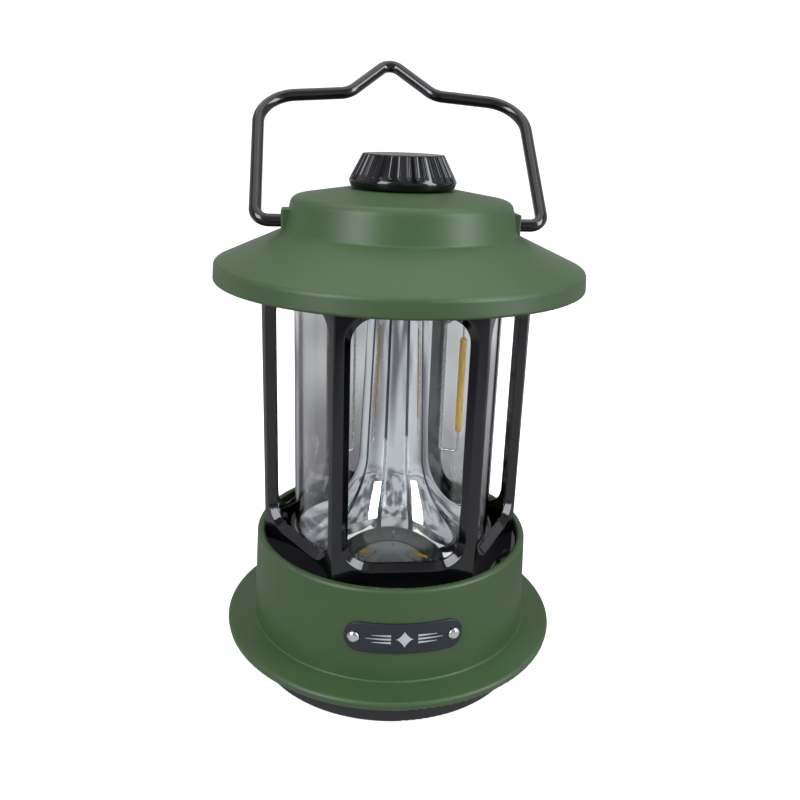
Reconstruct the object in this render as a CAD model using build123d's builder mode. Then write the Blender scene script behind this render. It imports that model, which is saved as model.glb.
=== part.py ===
from build123d import *

import os
from math import atan2, cos, degrees, radians, sin, sqrt

# Rechargeable camping lantern. A green hat roof sits on a black six-sided cage, which stands in
# a green cup-shaped base. Inside the cage a clear tube surrounds a chrome trumpet reflector and
# three hanging LED filaments. Millimetres, +Z up, origin on the table at the centre of the foot,
# and -Y is the nameplate side.

# ---- Driving dimensions ----
foot_height = 13.4  # the green flange starts here
flange_radius = 60.6
flange_top = 17.3  # where the flange meets the cup wall
cup_radius_low = 50.4
cup_radius_high = 49.0
rim_height = 50.4
rim_bore = 46.4
ledge_height = 44.6  # the deck rests here
deck_top = 47.6
platform_top = 49.6  # raised middle of the deck
cage_radius = 46.4  # from the axis to a corner
cage_wall = 2.8
cage_top = 141.6
window_low, window_high = 54.5, 136.5
window_half_width = 18.2
window_corner = 8.0
window_bevel = 2.2
tube_radius = 35.4
tube_wall = 1.2
brim_radius = 61.9
brim_low = 141.2
liner_top = 143.6
drum_radius = 38.4
roof_flat = 170.9  # under the knob
roof_ceiling = 168.5
pivot_height = 160.0  # handle axis
handle_wire = 2.1  # wire radius
handle_half_width = 48.0
handle_lean = 47.5  # degrees back from upright, as it is left
knob_low, knob_high = 171.3, 182.0
knob_radius_low, knob_radius_high = 17.7, 13.2
shaft_radius = 3.0
filament_circle = 24.0
filament_low, filament_high = 90.5, 124.3
filament_angles = (-30, 90, 210)
cell_radius, cell_length = 9.2, 65.0
cell_offset, cell_height = 9.5, 14.9
board_top = 27.8
port_height = 29.45
flap_axis_y, flap_axis_z = 47.7, 25.4
slip = 0.05  # radial clearance of every turning fit

os.makedirs("parts", exist_ok=True)


def turn(outline, mode=Mode.ADD):
    """Revolve a closed outline of (radius, height, corner radius) points about the lamp's axis."""
    with BuildSketch(Plane.XZ) as profile:
        with BuildLine():
            FilletPolyline(
                [(r, z) for r, z, _ in outline], radius=[c for _, _, c in outline], close=True
            )
        make_face()
    revolve(profile.sketch, axis=Axis.Z, mode=mode)


def post(x, y, low, high, radius, mode=Mode.ADD):
    """Upright cylinder between two heights."""
    with Locations((x, y, (low + high) / 2)):
        Cylinder(radius, high - low, mode=mode)


def posts(circle, count, start, low, high, radius, mode=Mode.ADD):
    """Ring of upright cylinders between two heights."""
    with PolarLocations(circle, count, start_angle=start):
        with Locations((0, 0, (low + high) / 2)):
            Cylinder(radius, high - low, mode=mode)


def screws_up(circle, count, start, head_low, seat, tip, head, shank):
    """Ring of screws driven upwards: heads below the seat, shanks above it, slotted heads."""
    posts(circle, count, start, head_low, seat, head)
    posts(circle, count, start, seat, tip, shank)
    with PolarLocations(circle, count, start_angle=start):
        with Locations((0, 0, head_low + 0.3)):
            Box(head * 1.5, 0.7, 0.7, mode=Mode.SUBTRACT)


def wire(points, bends, radius):
    """Round wire along straight runs joined by arcs."""
    with BuildLine():
        run = FilletPolyline(points, radius=bends)
    with BuildSketch(Plane(origin=run @ 0, z_dir=run % 0)) as section:
        Circle(radius)
    sweep(section.sketch, path=run)


def cup_radius(height):
    """Outer radius of the cup wall at a height."""
    share = (height - flange_top) / (rim_height - flange_top)
    return cup_radius_low + (cup_radius_high - cup_radius_low) * share


# ---- Base: foot, bottom plate, green shell ----
base_screw_circle = 42.0
deck_screw_circle = 40.8
board_post_x, board_post_y = 10.0, 23.0

with BuildPart() as foot_ring:
    turn([(37.1, 0, 0.5), (46.9, 0, 0.5), (46.9, 2.5, 0), (37.1, 2.5, 0)])
foot_ring.part.label = "foot_ring"
export_step(foot_ring.part, "parts/foot_ring.step")

with BuildPart() as base_plate:
    turn(
        [
            (0, 1.0, 0),
            (36.9, 1.0, 0),
            (36.9, 2.5, 0),
            (47.1, 2.5, 0),
            (47.1, 1.0, 0),
            (49.9, 1.0, 0.8),
            (50.5, foot_height, 0),
            (47.5, foot_height, 0),
            (47.5, 19.0, 0.4),
            (45.5, 19.0, 0.4),
            (45.5, 4.5, 1.0),
            (0, 4.5, 0),
        ]
    )
    posts(base_screw_circle, 4, 45, 4.5, 8.0, 4.5)
    posts(base_screw_circle, 4, 45, 2.5, 4.5, 3.1, mode=Mode.SUBTRACT)
    posts(base_screw_circle, 4, 45, 4.5, 8.0, 1.65, mode=Mode.SUBTRACT)
    for side in (-1, 1):
        post(side * board_post_x, board_post_y, 4.5, 26.2, 2.6)
        post(side * board_post_x, board_post_y, 19.0, 26.2, 1.2, mode=Mode.SUBTRACT)
base_plate.part.label = "base_plate"
export_step(base_plate.part, "parts/base_plate.step")

with BuildPart() as base_screws:
    screws_up(base_screw_circle, 4, 45, 2.7, 4.5, 18.0, 2.9, 1.45)
base_screws.part.label = "base_screws"
export_step(base_screws.part, "parts/base_screws.step")

pocket_half_width = 8.0
pocket_floor = 46.6
rivet_height, rivet_arc = 33.5, 16.5
rivet_angle = degrees(rivet_arc / cup_radius(rivet_height))

with BuildPart() as base_shell:
    turn(
        [
            (47.7, foot_height, 0),
            (60.1, foot_height, 0.9),
            (flange_radius, 16.4, 1.2),
            (cup_radius_low, flange_top, 0.6),
            (cup_radius_high, rim_height, 1.2),
            (rim_bore, rim_height, 0.8),
            (rim_bore, ledge_height, 0),
            (43.6, ledge_height, 0),
            (43.6, 42.4, 0),
            (47.7, 38.0, 0),
        ]
    )
    # four screw pillars, each tied to the wall by a rib
    posts(base_screw_circle, 4, 45, 8.0, ledge_height, 3.3)
    with PolarLocations(46.0, 4, start_angle=45):
        with Locations((0, 0, 31.9)):
            Box(4.6, 2.4, 25.4)
    posts(base_screw_circle, 4, 45, 8.0, 19.0, 1.5, mode=Mode.SUBTRACT)
    # three lugs that the deck is screwed down through
    posts(deck_screw_circle, 3, 0, 42.4, ledge_height, 3.6)
    posts(deck_screw_circle, 3, 0, 42.4, ledge_height, 1.3, mode=Mode.SUBTRACT)
    # charging port: inner pad, flap pocket, slot and hinge holes
    with Locations((0, 45.75, 29.5)):
        Box(19.0, 5.5, 15.0)
    with Locations((0, pocket_floor + 3.0, 29.5)):
        Box(2 * pocket_half_width, 6.0, 11.0, mode=Mode.SUBTRACT)
    with BuildSketch(Plane.XZ.offset(-47.0)):
        with Locations((0, port_height)):
            SlotOverall(9.5, 3.8)
    extrude(amount=5.0, mode=Mode.SUBTRACT)
    with Locations((0, flap_axis_y, flap_axis_z)):
        Cylinder(0.7 + slip, 17.8, rotation=(0, 90, 0), mode=Mode.SUBTRACT)
    # blind holes for the nameplate's rivets
    for side in (-1, 1):
        rivet_plane = Plane(
            origin=(0, 0, rivet_height),
            z_dir=(sin(radians(side * rivet_angle)), -cos(radians(rivet_angle)), 0),
        )
        with BuildSketch(rivet_plane.offset(48.2)):
            Circle(1.05)
        extrude(amount=4.0, mode=Mode.SUBTRACT)
base_shell.part.label = "base_shell"
export_step(base_shell.part, "parts/base_shell.step")

# ---- Nameplate and its two rivets ----
plate_width, plate_height, plate_middle = 39.4, 10.6, 33.6
plate_thickness = 0.8
plate_low, plate_high = plate_middle - 8.0, plate_middle + 8.0

with BuildPart() as nameplate:
    with BuildSketch(Plane.XZ):
        with Locations((0, plate_middle)):
            SlotOverall(plate_width, plate_height)
    extrude(amount=60.0)
    turn(
        [
            (cup_radius(plate_low), plate_low, 0),
            (cup_radius(plate_low) + plate_thickness, plate_low, 0),
            (cup_radius(plate_high) + plate_thickness, plate_high, 0),
            (cup_radius(plate_high), plate_high, 0),
        ],
        mode=Mode.INTERSECT,
    )
    for side in (-1, 1):
        rivet_plane = Plane(
            origin=(0, 0, rivet_height),
            z_dir=(sin(radians(side * rivet_angle)), -cos(radians(rivet_angle)), 0),
        )
        with BuildSketch(rivet_plane.offset(48.2)):
            Circle(1.05)
        extrude(amount=4.0, mode=Mode.SUBTRACT)
nameplate.part.label = "nameplate"
export_step(nameplate.part, "parts/nameplate.step")

rivet_seat = cup_radius(rivet_height - 2.1) + plate_thickness + 0.02
rivet_dome, rivet_head = 1.1, 2.1

with BuildPart() as nameplate_rivets:
    for side in (-1, 1):
        rivet_plane = Plane(
            origin=(0, 0, rivet_height),
            z_dir=(sin(radians(side * rivet_angle)), -cos(radians(rivet_angle)), 0),
        )
        with BuildSketch(rivet_plane.offset(48.3)):
            Circle(1.0)
        extrude(amount=rivet_seat - 48.3)
        with BuildSketch(rivet_plane.offset(rivet_seat)):
            Circle(rivet_head)
        extrude(amount=rivet_dome)
    domes = nameplate_rivets.edges().filter_by(GeomType.CIRCLE)
    outer = [e for e in domes if sqrt(e.center().X**2 + e.center().Y**2) > rivet_seat + 0.9]
    fillet(outer, radius=1.0)
nameplate_rivets.part.label = "nameplate_rivets"
export_step(nameplate_rivets.part, "parts/nameplate_rivets.step")

# ---- Charging port, board and flap ----
with BuildPart() as port_cover:
    with Locations((0, flap_axis_y, flap_axis_z + 4.55)):
        Box(15.4, 1.8, 9.1)
    fillet(port_cover.edges().filter_by(Axis.Y).sort_by(Axis.Z)[-2:], radius=1.5)
    with Locations((0, flap_axis_y, flap_axis_z)):
        Cylinder(0.9, 15.4, rotation=(0, 90, 0))
        Cylinder(0.7, 17.6, rotation=(0, 90, 0))
    with Locations((0, flap_axis_y + 1.3, flap_axis_z + 8.0)):
        Box(6.0, 0.8, 1.0)
port_cover.part.label = "port_cover"
export_step(port_cover.part, "parts/port_cover.step")

with BuildPart() as usb_socket:
    with BuildSketch(Plane.XZ.offset(-45.9)):
        with Locations((0, port_height)):
            SlotOverall(9.0, 3.3)
            SlotOverall(8.3, 2.6, mode=Mode.SUBTRACT)
    extrude(amount=7.3)
    with BuildSketch(Plane.XZ.offset(-39.4)):
        with Locations((0, port_height)):
            SlotOverall(9.0, 3.3)
    extrude(amount=0.8)
    with Locations((0, 42.2, port_height)):
        Box(6.6, 5.6, 0.7)
usb_socket.part.label = "usb_socket"
export_step(usb_socket.part, "parts/usb_socket.step")

with BuildPart() as charge_board:
    with Locations((0, 31.15, board_top - 0.8)):
        Box(28.0, 23.3, 1.6)
    for side in (-1, 1):
        post(side * board_post_x, board_post_y, 26.0, 28.0, 1.3, mode=Mode.SUBTRACT)
    with Locations((-5.5, 32.0, board_top + 1.0)):
        Box(6.0, 6.0, 2.0)
    with Locations((3.0, 33.5, board_top + 0.5)):
        Box(4.4, 3.6, 1.0)
charge_board.part.label = "charge_board"
export_step(charge_board.part, "parts/charge_board.step")

with BuildPart() as board_screws:
    for side in (-1, 1):
        post(side * board_post_x, board_post_y, board_top, 29.2, 2.2)
        post(side * board_post_x, board_post_y, 20.0, board_top, 1.15)
        with Locations((side * board_post_x, board_post_y, 29.0)):
            Box(3.2, 0.7, 0.7, mode=Mode.SUBTRACT)
board_screws.part.label = "board_screws"
export_step(board_screws.part, "parts/board_screws.step")

# ---- Batteries ----
contact_inner, contact_outer = 32.8, 33.3

with BuildPart() as battery_tray:
    with Locations((0, 0, 8.25)):
        Box(70.6, 40.0, 7.5)
    for side in (-1, 1):
        with Locations((side * 34.3, 0, 12.0)):
            Box(2.0, 40.0, 15.0)
    for side in (-1, 1):
        with Locations((0, side * cell_offset, cell_height)):
            Cylinder(cell_radius + 0.2, 2 * contact_outer, rotation=(0, 90, 0), mode=Mode.SUBTRACT)
    for side in (-1, 1):
        with Locations((side * 33.0, 0, 14.5)):
            Box(0.6, 32.0, 12.0, mode=Mode.SUBTRACT)
battery_tray.part.label = "battery_tray"
export_step(battery_tray.part, "parts/battery_tray.step")

for name, side in (("battery_cell_front", -1), ("battery_cell_back", 1)):
    with BuildPart() as battery_cell:
        with Locations((0, side * cell_offset, cell_height)):
            Cylinder(cell_radius, cell_length, rotation=(0, 90, 0))
        fillet(battery_cell.edges().filter_by(GeomType.CIRCLE), radius=0.6)
        with Locations((cell_length / 2 + 0.1, side * cell_offset, cell_height)):
            Cylinder(2.8, 0.4, rotation=(0, 90, 0))
    battery_cell.part.label = name
    export_step(battery_cell.part, f"parts/{name}.step")

with BuildPart() as battery_contacts:
    for side in (-1, 1):
        with Locations((side * (contact_inner + contact_outer) / 2, 0, 14.75)):
            Box(contact_outer - contact_inner, 31.6, 11.5)
battery_contacts.part.label = "battery_contacts"
export_step(battery_contacts.part, "parts/battery_contacts.step")

with BuildPart() as battery_leads:
    for side in (-1, 1):
        wire(
            [
                (side * contact_outer, 14, 20.5),
                (side * contact_outer, 14, 31),
                (side * 12, 31, 31),
                (side * 12, 31, board_top),
            ],
            [2.5, 2.0],
            0.7,
        )
battery_leads.part.label = "battery_leads"
export_step(battery_leads.part, "parts/battery_leads.step")

# ---- Deck that closes the cup and carries the cage ----
with BuildPart() as deck_plate:
    turn(
        [
            (6.0, ledge_height, 0),
            (46.2, ledge_height, 0),
            (46.2, deck_top, 0.3),
            (37.2, deck_top, 0),
            (37.2, 51.4, 0.3),
            (35.9, 51.4, 0.3),
            (35.9, platform_top, 0),
            (6.0, platform_top, 0),
        ]
    )
    posts(deck_screw_circle, 3, 0, ledge_height, 46.9, 1.25, mode=Mode.SUBTRACT)
    posts(deck_screw_circle, 3, 60, ledge_height, deck_top, 1.35, mode=Mode.SUBTRACT)
deck_plate.part.label = "deck_plate"
export_step(deck_plate.part, "parts/deck_plate.step")

with BuildPart() as deck_screws:
    screws_up(deck_screw_circle, 3, 0, 40.9, 42.4, 46.8, 2.2, 1.2)
deck_screws.part.label = "deck_screws"
export_step(deck_screws.part, "parts/deck_screws.step")

# ---- Six-sided cage ----
cage_flat = cage_radius * cos(radians(30))
cage_inner = cage_radius - cage_wall / cos(radians(30))
boss_radius = 2.6  # screw bosses in the corners, hidden behind the sills and lintels

with BuildPart() as cage:
    with BuildSketch(Plane.XY.offset(deck_top)):
        RegularPolygon(radius=cage_radius, side_count=6)
        RegularPolygon(radius=cage_inner, side_count=6, mode=Mode.SUBTRACT)
    extrude(amount=cage_top - deck_top)
    uprights = cage.edges().filter_by(Axis.Z)
    corners = [e for e in uprights if sqrt(e.center().X**2 + e.center().Y**2) > cage_radius - 1]
    fillet(corners, radius=0.8)
    posts(deck_screw_circle, 3, 60, deck_top, 54.0, boss_radius)
    posts(deck_screw_circle, 3, 0, 137.0, cage_top, boss_radius)
    window_middle = (window_low + window_high) / 2
    window_height = window_high - window_low
    for side in range(6):
        facing = radians(30 + 60 * side)
        face = Plane(
            origin=(cage_flat * cos(facing), cage_flat * sin(facing), window_middle),
            x_dir=(sin(facing), -cos(facing), 0),
            z_dir=(-cos(facing), -sin(facing), 0),
        )
        with BuildSketch(face):
            RectangleRounded(2 * window_half_width, window_height, window_corner)
        extrude(amount=cage_wall + 0.4, mode=Mode.SUBTRACT)
        with BuildSketch(face):
            RectangleRounded(
                2 * (window_half_width + window_bevel),
                window_height + 2 * window_bevel,
                window_corner + window_bevel,
            )
        extrude(amount=window_bevel, taper=45, mode=Mode.SUBTRACT)
    posts(deck_screw_circle, 3, 60, deck_top, 53.6, 1.3, mode=Mode.SUBTRACT)
    posts(deck_screw_circle, 3, 0, 137.6, cage_top, 1.3, mode=Mode.SUBTRACT)
cage.part.label = "cage"
export_step(cage.part, "parts/cage.step")

with BuildPart() as cage_screws:
    screws_up(deck_screw_circle, 3, 60, 43.0, ledge_height, 53.2, 2.2, 1.25)
cage_screws.part.label = "cage_screws"
export_step(cage_screws.part, "parts/cage_screws.step")

# ---- Clear tube between its two silicone rings ----
seal_inner, seal_outer = 33.9, 35.7
tube_low, tube_high = 51.1, 139.6

with BuildPart() as lower_seal:
    turn(
        [
            (seal_inner, platform_top, 0),
            (seal_outer, platform_top, 0),
            (seal_outer, tube_low, 0.3),
            (seal_inner, tube_low, 0.3),
        ]
    )
lower_seal.part.label = "lower_seal"
export_step(lower_seal.part, "parts/lower_seal.step")

with BuildPart() as upper_seal:
    turn(
        [
            (seal_inner, tube_high, 0.3),
            (seal_outer, tube_high, 0.3),
            (seal_outer, cage_top, 0),
            (seal_inner, cage_top, 0),
        ]
    )
upper_seal.part.label = "upper_seal"
export_step(upper_seal.part, "parts/upper_seal.step")

with BuildPart() as clear_tube:
    turn(
        [
            (tube_radius - tube_wall, tube_low, 0.3),
            (tube_radius, tube_low, 0.3),
            (tube_radius, tube_high, 0.3),
            (tube_radius - tube_wall, tube_high, 0.3),
        ]
    )
clear_tube.part.label = "clear_tube"
export_step(clear_tube.part, "parts/clear_tube.step")

# ---- Trumpet reflector: a tapered column that flares on one arc to the tube ----
flare_radius, flare_height = 29.0, 80.0
neck_radius, mouth_radius, mouth_height = 12.3, 33.7, 52.0
reflector_top_radius, reflector_top = 10.0, 139.9
reflector_wall = 1.2
flare_centre = neck_radius + flare_radius


def flare_arc(radius, mouth):
    """Arc of the bell from its neck down to a mouth radius."""
    low = atan2(-sqrt(radius**2 - (flare_centre - mouth) ** 2), mouth - flare_centre)
    middle = (low - radians(180)) / 2
    return [
        (flare_centre - radius, flare_height),
        (flare_centre + radius * cos(middle), flare_height + radius * sin(middle)),
        (mouth, flare_height + radius * sin(low)),
    ]


with BuildPart() as reflector:
    outside = flare_arc(flare_radius, mouth_radius)
    inside = flare_arc(flare_radius + reflector_wall, mouth_radius - reflector_wall)
    with BuildSketch(Plane.XZ):
        with BuildLine():
            Line((reflector_top_radius, reflector_top), outside[0])
            ThreePointArc(*outside)
            Polyline(
                outside[2],
                (mouth_radius, platform_top),
                (mouth_radius - reflector_wall, platform_top),
                inside[2],
            )
            ThreePointArc(inside[2], inside[1], inside[0])
            Polyline(
                inside[0],
                (reflector_top_radius - reflector_wall, reflector_top),
                (reflector_top_radius, reflector_top),
            )
        make_face()
    revolve(axis=Axis.Z)
reflector.part.label = "reflector"
export_step(reflector.part, "parts/reflector.step")

# ---- Three LED filaments hanging from the lamp board on bare steel leads ----
board_low, board_rim = 140.0, 32.8
filament_radius, lead_radius = 1.2, 0.4
return_circle = 17.5
lead_turn = 83.0  # the return lead passes under the filament here

for number, angle in enumerate(filament_angles, start=1):
    spoke = (cos(radians(angle)), sin(radians(angle)))

    with BuildPart() as filament:
        post(
            filament_circle * spoke[0],
            filament_circle * spoke[1],
            filament_low,
            filament_high,
            filament_radius,
        )
        fillet(filament.edges().filter_by(GeomType.CIRCLE), radius=0.7)
    filament.part.label = f"filament_{number}"
    export_step(filament.part, f"parts/filament_{number}.step")

    with BuildPart() as filament_leads:
        post(
            filament_circle * spoke[0],
            filament_circle * spoke[1],
            filament_high,
            board_low,
            lead_radius,
        )
        wire(
            [
                (21.5 * spoke[0], 21.5 * spoke[1], board_low),
                (21.5 * spoke[0], 21.5 * spoke[1], 131.0),
                (return_circle * spoke[0], return_circle * spoke[1], 128.0),
                (return_circle * spoke[0], return_circle * spoke[1], lead_turn),
                (filament_circle * spoke[0], filament_circle * spoke[1], lead_turn + 0.6),
                (filament_circle * spoke[0], filament_circle * spoke[1], filament_low),
            ],
            [1.2, 1.2, 0.9, 0.9],
            lead_radius,
        )
    filament_leads.part.label = f"filament_leads_{number}"
    export_step(filament_leads.part, f"parts/filament_leads_{number}.step")

board_screw_circle, board_screw_start = 28.0, 30

with BuildPart() as lamp_board:
    turn([(6.5, board_low, 0), (board_rim, board_low, 0), (board_rim, cage_top, 0), (6.5, cage_top, 0)])
    posts(board_screw_circle, 3, board_screw_start, board_low, cage_top, 1.35, mode=Mode.SUBTRACT)
lamp_board.part.label = "lamp_board"
export_step(lamp_board.part, "parts/lamp_board.step")

with BuildPart() as lamp_board_screws:
    screws_up(board_screw_circle, 3, board_screw_start, 138.6, board_low, 146.0, 2.2, 1.2)
lamp_board_screws.part.label = "lamp_board_screws"
export_step(lamp_board_screws.part, "parts/lamp_board_screws.step")

# ---- Wiring that climbs through the reflector to the dimmer and the lamp board ----
dimmer_low = 158.0

for name, side in (("feed_wire_red", -1), ("feed_wire_black", 1)):
    with BuildPart() as feed_wire:
        wire(
            [
                (side * 4.0, 24.0, board_top),
                (side * 4.0, 24.0, 37.0),
                (side * 1.8, 0.0, 37.0),
                (side * 1.8, 0.0, dimmer_low),
            ],
            [4.0, 6.0],
            0.8,
        )
    feed_wire.part.label = name
    export_step(feed_wire.part, f"parts/{name}.step")

with BuildPart() as lamp_wires:
    for side in (-1, 1):
        wire(
            [
                (side * 5.0, 3.0, dimmer_low),
                (side * 5.0, 3.0, 152.0),
                (side * 9.0, 3.0, 147.0),
                (side * 9.0, 3.0, cage_top),
            ],
            [3.0, 3.0],
            0.7,
        )
lamp_wires.part.label = "lamp_wires"
export_step(lamp_wires.part, "parts/lamp_wires.step")

# ---- Roof, its liner and their screws ----
roof_screw_circle, roof_screw_start = 51.5, 30
ear_face = 39.5
boss_face = 33.0  # inner end of each handle boss

with BuildPart() as roof_liner:
    turn([(12.0, cage_top, 0), (59.0, cage_top, 0.5), (59.0, liner_top, 0.5), (12.0, liner_top, 0)])
    posts(board_screw_circle, 3, board_screw_start, liner_top, 147.0, 3.0)
    posts(board_screw_circle, 3, board_screw_start, cage_top, 146.5, 1.25, mode=Mode.SUBTRACT)
    posts(deck_screw_circle, 3, 0, cage_top, liner_top, 1.35, mode=Mode.SUBTRACT)
    posts(roof_screw_circle, 3, roof_screw_start, cage_top, liner_top, 1.6, mode=Mode.SUBTRACT)
roof_liner.part.label = "roof_liner"
export_step(roof_liner.part, "parts/roof_liner.step")

with BuildPart() as liner_screws:
    posts(deck_screw_circle, 3, 0, liner_top, 145.2, 2.2)
    posts(deck_screw_circle, 3, 0, 138.2, liner_top, 1.25)
    with PolarLocations(deck_screw_circle, 3):
        with Locations((0, 0, 145.0)):
            Box(3.2, 0.7, 0.7, mode=Mode.SUBTRACT)
liner_screws.part.label = "liner_screws"
export_step(liner_screws.part, "parts/liner_screws.step")

with BuildPart() as roof_screws:
    screws_up(roof_screw_circle, 3, roof_screw_start, 140.2, cage_top, 148.5, 2.6, 1.45)
roof_screws.part.label = "roof_screws"
export_step(roof_screws.part, "parts/roof_screws.step")

# space under the roof: everything inside the shell except its screw and handle bosses
with BuildPart() as roof_space:
    turn(
        [
            (0, brim_low - 1, 0),
            (59.3, brim_low - 1, 0),
            (59.3, 145.6, 0.8),
            (36.0, 155.9, 0.5),
            (33.6, 165.9, 1.6),
            (20.0, roof_ceiling, 0),
            (0, roof_ceiling, 0),
        ]
    )
    posts(roof_screw_circle, 3, roof_screw_start, liner_top, 156.0, 3.4, mode=Mode.SUBTRACT)
    for side in (-1, 1):
        with Locations((side * (boss_face + 3.0), 0, pivot_height)):
            Cylinder(4.5, 6.0, rotation=(0, 90, 0), mode=Mode.SUBTRACT)

with BuildPart() as roof:
    turn(
        [
            (0, brim_low, 0),
            (brim_radius, brim_low, 0.9),
            (61.5, 147.2, 1.8),
            (drum_radius, 157.5, 0.9),
            (36.2, 168.0, 3.0),
            (18.8, roof_flat, 0.6),
            (0, roof_flat, 0),
        ]
    )
    for side in (-1, 1):
        with Locations((side * (ear_face - 3.0), 0, 160.2)):
            Box(6.0, 9.0, 7.4)
    ear_edges = [e for e in roof.edges() if abs(abs(e.center().X) - ear_face) < 0.01]
    fillet(ear_edges, radius=0.7)
    add(roof_space.part, mode=Mode.SUBTRACT)
    posts(roof_screw_circle, 3, roof_screw_start, liner_top, 149.0, 1.5, mode=Mode.SUBTRACT)
    post(0, 0, roof_ceiling - 1, roof_flat + 1, 4.4, mode=Mode.SUBTRACT)
    with Locations((0, 0, pivot_height)):
        Cylinder(handle_wire + slip, 90.0, rotation=(0, 90, 0), mode=Mode.SUBTRACT)
roof.part.label = "roof"
export_step(roof.part, "parts/roof.step")

# ---- Rotary dimmer under the knob ----
bush_radius, bush_top = 4.2, 174.4
washer_top, nut_top = 171.6, 174.0

with BuildPart() as dimmer_body:
    post(0, 0, dimmer_low, roof_ceiling, 8.5)
    post(0, 0, roof_ceiling, bush_top, bush_radius)
    for x in (-4.0, 0.0, 4.0):
        with Locations((x, 9.5, 160.0)):
            Box(1.2, 5.0, 0.6)
    post(0, 0, dimmer_low + 1, bush_top, shaft_radius + slip, mode=Mode.SUBTRACT)
dimmer_body.part.label = "dimmer_body"
export_step(dimmer_body.part, "parts/dimmer_body.step")

with BuildPart() as dimmer_washer:
    post(0, 0, roof_flat, washer_top, 7.0)
    post(0, 0, roof_flat, washer_top, bush_radius + 0.1, mode=Mode.SUBTRACT)
dimmer_washer.part.label = "dimmer_washer"
export_step(dimmer_washer.part, "parts/dimmer_washer.step")

with BuildPart() as dimmer_nut:
    with BuildSketch(Plane.XY.offset(washer_top)):
        RegularPolygon(radius=5.5, side_count=6, major_radius=False)
        Circle(bush_radius + 0.05, mode=Mode.SUBTRACT)
    extrude(amount=nut_top - washer_top)
dimmer_nut.part.label = "dimmer_nut"
export_step(dimmer_nut.part, "parts/dimmer_nut.step")

flat_start, flat_offset = 174.8, 2.0  # the shaft's D-shaped end

with BuildPart() as dimmer_shaft:
    post(0, 0, dimmer_low + 1.5, 180.0, shaft_radius)
    with Locations((0, flat_offset + 2.0, flat_start + 3.0)):
        Box(8.0, 4.0, 6.0, mode=Mode.SUBTRACT)
dimmer_shaft.part.label = "dimmer_shaft"
export_step(dimmer_shaft.part, "parts/dimmer_shaft.step")

# ---- Fluted knob ----
flute_count = 36
flute_radius, flute_depth = 0.75, 0.45
flute_low = 175.6
cone_low = 173.6
cone_slope = (knob_radius_high - knob_radius_low) / (knob_high - cone_low)
cone_tilt = atan2(-cone_slope, 1.0)
flute_stand = flute_radius - flute_depth  # groove axis outside the cone's surface

with BuildPart() as knob:
    turn(
        [
            (0, knob_low, 0),
            (16.8, knob_low, 0.9),
            (knob_radius_low, cone_low, 1.3),
            (knob_radius_high, knob_high, 0.6),
            (0, knob_high, 0),
        ]
    )
    turn(
        [
            (0, knob_low, 0),
            (15.3, knob_low, 0),
            (14.7, 175.0, 0.6),
            (11.8, 179.6, 0.6),
            (5.2, 179.6, 0),
            (5.2, 175.2, 0),
            (0, 175.2, 0),
        ],
        mode=Mode.SUBTRACT,
    )
    # D-shaped socket for the shaft
    with BuildSketch(Plane.XY.offset(175.2)):
        Circle(shaft_radius + 0.02)
        with Locations((0, flat_offset + 2.02)):
            Rectangle(8.0, 4.0, mode=Mode.SUBTRACT)
    extrude(amount=5.0, mode=Mode.SUBTRACT)
    # flutes down the cone, each with a rounded lower end
    flute_start = Vector(
        knob_radius_low + cone_slope * (flute_low - cone_low) + flute_stand * cos(cone_tilt),
        0,
        flute_low + flute_stand * sin(cone_tilt),
    )
    flute_plane = Plane(origin=flute_start, x_dir=(0, 1, 0), z_dir=(cone_slope, 0, 1))
    with PolarLocations(0, flute_count):
        with Locations(flute_plane.location):
            Sphere(flute_radius, mode=Mode.SUBTRACT)
            Cylinder(
                flute_radius, 9.0, align=(Align.CENTER, Align.CENTER, Align.MIN), mode=Mode.SUBTRACT
            )
knob.part.label = "knob"
export_step(knob.part, "parts/knob.step")

# ---- Wire handle, hinged in the roof's two ears ----
shoulder_height, bar_height, peak_height = 57.0, 60.6, 77.5
peak_half_width = 15.7
wire_end = 31.0
lean = radians(handle_lean)
handle_plane = Plane(origin=(0, 0, pivot_height), x_dir=(1, 0, 0), z_dir=(0, -cos(lean), sin(lean)))

with BuildPart() as handle:
    with BuildLine(handle_plane):
        bail = FilletPolyline(
            (-wire_end, 0),
            (-handle_half_width, 0),
            (-handle_half_width, shoulder_height),
            (-peak_half_width, bar_height),
            (0, peak_height),
            (peak_half_width, bar_height),
            (handle_half_width, shoulder_height),
            (handle_half_width, 0),
            (wire_end, 0),
            radius=[4.5, 14.5, 8.5, 4.6, 8.5, 14.5, 4.5],
        )
    with BuildSketch(Plane(origin=bail @ 0, z_dir=bail % 0)):
        Circle(handle_wire)
    sweep(path=bail)
handle.part.label = "handle"
export_step(handle.part, "parts/handle.step")

with BuildPart() as handle_clips:
    for side in (-1, 1):
        with Locations((side * 32.2, 0, pivot_height)):
            Cylinder(4.0, 1.0, rotation=(0, 90, 0))
    with Locations((0, 0, pivot_height)):
        Cylinder(handle_wire + 0.02, 70.0, rotation=(0, 90, 0), mode=Mode.SUBTRACT)
handle_clips.part.label = "handle_clips"
export_step(handle_clips.part, "parts/handle_clips.step")
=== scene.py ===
import math

import bmesh
import bpy
from mathutils import Matrix, Vector


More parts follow.
